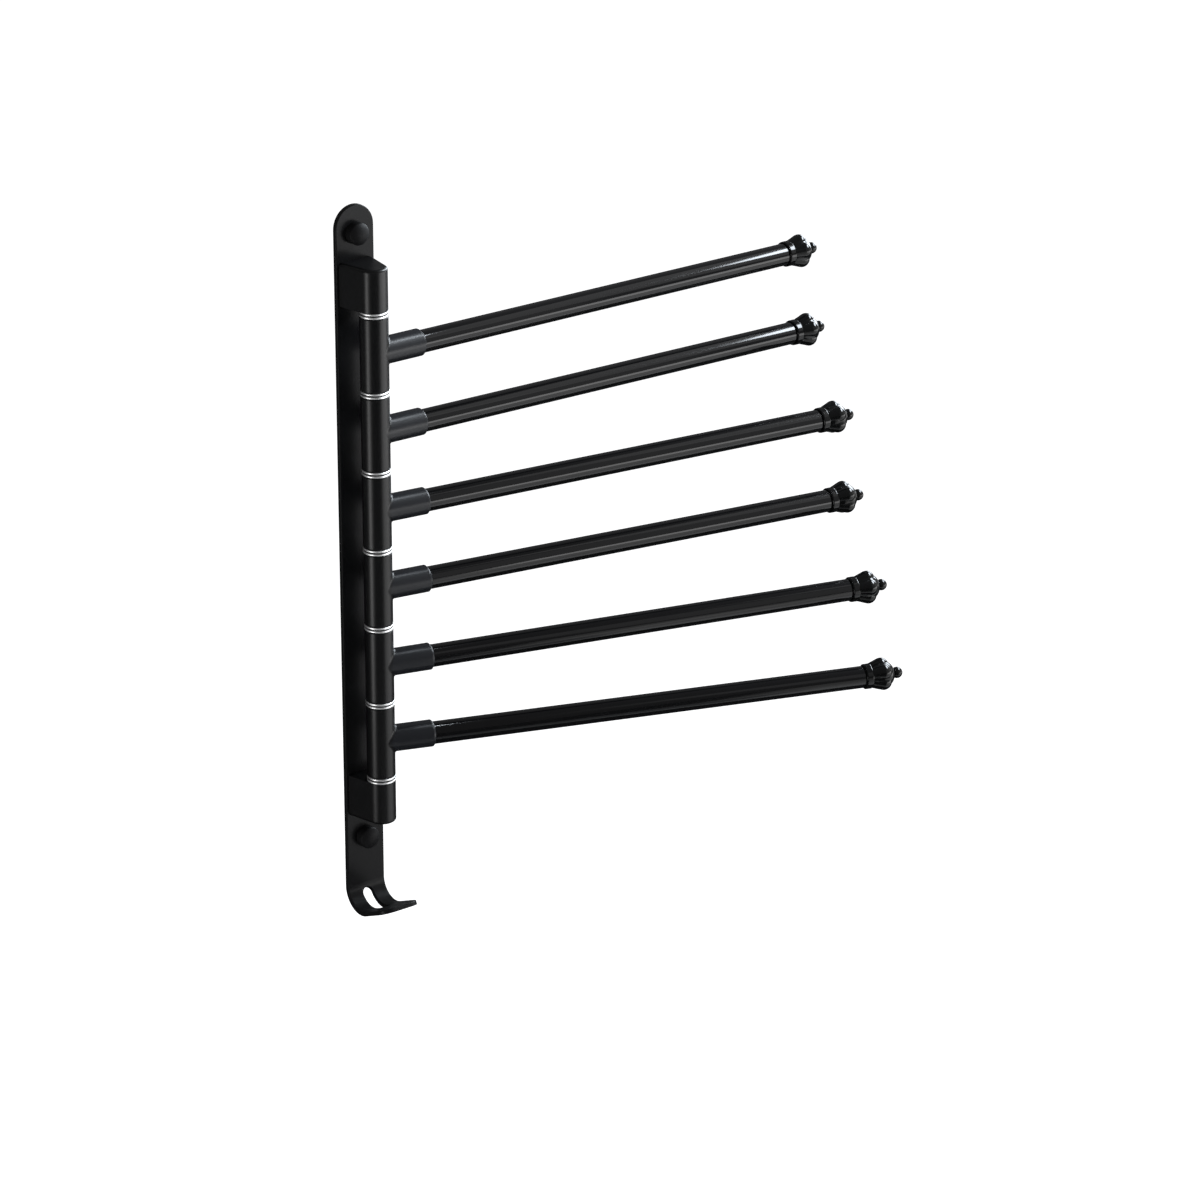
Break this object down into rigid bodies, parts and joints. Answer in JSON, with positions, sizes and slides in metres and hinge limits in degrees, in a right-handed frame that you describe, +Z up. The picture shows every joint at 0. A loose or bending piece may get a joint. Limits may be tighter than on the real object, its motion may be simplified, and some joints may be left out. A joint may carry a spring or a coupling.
{
  "type": "swivel towel rack",
  "caption": "Wall-mounted towel rack with slim round arms that swing on one upright column, crown finials, screw caps and a hook bent from the foot of its narrow plate.",
  "frame": {"origin": "on the wall plane, half way between the two wall screw holes", "axes": "+Z up along the plate, +Y into the wall, +X to the right along the closed arms"},
  "size_m": [0.3225, 0.1274, 0.409],
  "materials": {
    "satin_black": "satin",
    "gloss_black": "gloss",
    "washer_steel": "satin",
    "bare_steel": "satin",
    "black_nylon": "matte",
    "white_nylon": "matte"
  },
  "bodies": {
    "rack_frame": {"wall_plate": "satin_black", "upper_bracket": "satin_black", "lower_bracket": "satin_black", "bracket_screws": "bare_steel", "spindle": "bare_steel", "spindle_screw": "bare_steel", "steel_washers": "washer_steel", "nylon_washers": "black_nylon", "cap_seats": "black_nylon", "upper_screw_cap": "satin_black", "lower_screw_cap": "satin_black"},
    "arm_1": {"swivel_sleeve_1": "satin_black", "sleeve_bushes_1": "white_nylon", "arm_tube_1": "satin_black", "finial_1": "gloss_black"},
    "arm_2": {"swivel_sleeve_2": "satin_black", "sleeve_bushes_2": "white_nylon", "arm_tube_2": "satin_black", "finial_2": "gloss_black"},
    "arm_3": {"swivel_sleeve_3": "satin_black", "sleeve_bushes_3": "white_nylon", "arm_tube_3": "satin_black", "finial_3": "gloss_black"},
    "arm_4": {"swivel_sleeve_4": "satin_black", "sleeve_bushes_4": "white_nylon", "arm_tube_4": "satin_black", "finial_4": "gloss_black"},
    "arm_5": {"swivel_sleeve_5": "satin_black", "sleeve_bushes_5": "white_nylon", "arm_tube_5": "satin_black", "finial_5": "gloss_black"},
    "arm_6": {"swivel_sleeve_6": "satin_black", "sleeve_bushes_6": "white_nylon", "arm_tube_6": "satin_black", "finial_6": "gloss_black"}
  },
  "joints": [
    {"name": "arm_1_swing", "type": "hinge", "parent": "rack_frame", "child": "arm_1", "pos_m": [0, -0.0185, 0.1125], "axis": [0, 0, -1], "range_deg": [-0.5, 179.5]},
    {"name": "arm_2_swing", "type": "hinge", "parent": "rack_frame", "child": "arm_2", "pos_m": [0, -0.0185, 0.0675], "axis": [0, 0, -1], "range_deg": [-2, 178]},
    {"name": "arm_3_swing", "type": "hinge", "parent": "rack_frame", "child": "arm_3", "pos_m": [0, -0.0185, 0.0225], "axis": [0, 0, -1], "range_deg": [-7.5, 172.5]},
    {"name": "arm_4_swing", "type": "hinge", "parent": "rack_frame", "child": "arm_4", "pos_m": [0, -0.0185, -0.0225], "axis": [0, 0, -1], "range_deg": [-9.75, 170.25]},
    {"name": "arm_5_swing", "type": "hinge", "parent": "rack_frame", "child": "arm_5", "pos_m": [0, -0.0185, -0.0675], "axis": [0, 0, -1], "range_deg": [-15.25, 164.75]},
    {"name": "arm_6_swing", "type": "hinge", "parent": "rack_frame", "child": "arm_6", "pos_m": [0, -0.0185, -0.1125], "axis": [0, 0, -1], "range_deg": [-19.75, 160.25]}
  ]
}
